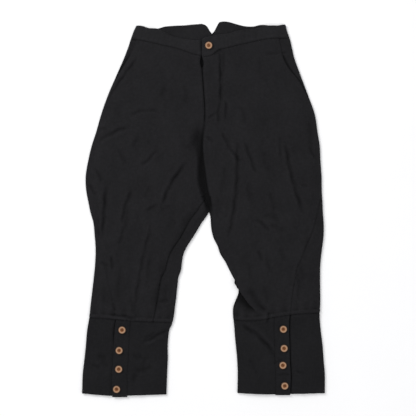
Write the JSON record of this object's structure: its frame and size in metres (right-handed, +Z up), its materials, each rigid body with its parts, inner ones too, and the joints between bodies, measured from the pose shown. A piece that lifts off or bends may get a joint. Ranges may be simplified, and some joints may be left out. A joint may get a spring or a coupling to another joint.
{
  "type": "trousers",
  "caption": "Full-thighed cotton breeches laid flat, with a peaked back waist, a buttoned waistband, slanted pockets and buttoned calf cuffs.",
  "frame": {"origin": "on the surface the garment lies on, under the middle of its box", "axes": "+Z up off that surface, +Y towards the waist, +X towards the wearer's left side"},
  "size_m": [0.6173, 0.9557, 0.0124],
  "materials": {
    "black_cotton": "matt black woven cotton, faintly lit along the folds",
    "button_wood": "turned coconut wood, satin, with a paler rim"
  },
  "bodies": {
    "root": {"front_right": "black_cotton", "front_left": "black_cotton", "back_right": "black_cotton", "back_left": "black_cotton", "waistband_front_right": "black_cotton", "waistband_front_left": "black_cotton", "waistband_back_right": "black_cotton", "waistband_back_left": "black_cotton", "fly_facing": "black_cotton", "fly_underlap": "black_cotton", "pocket_facing_right": "black_cotton", "pocket_facing_left": "black_cotton", "cuff_right": "black_cotton", "cuff_left": "black_cotton", "cuff_band_right": "black_cotton", "cuff_band_left": "black_cotton", "button_waist": "button_wood", "button_cuff_right_1": "button_wood", "button_cuff_right_2": "button_wood", "button_cuff_right_3": "button_wood", "button_cuff_right_4": "button_wood", "button_cuff_left_1": "button_wood", "button_cuff_left_2": "button_wood", "button_cuff_left_3": "button_wood", "button_cuff_left_4": "button_wood"}
  },
  "joints": []
}
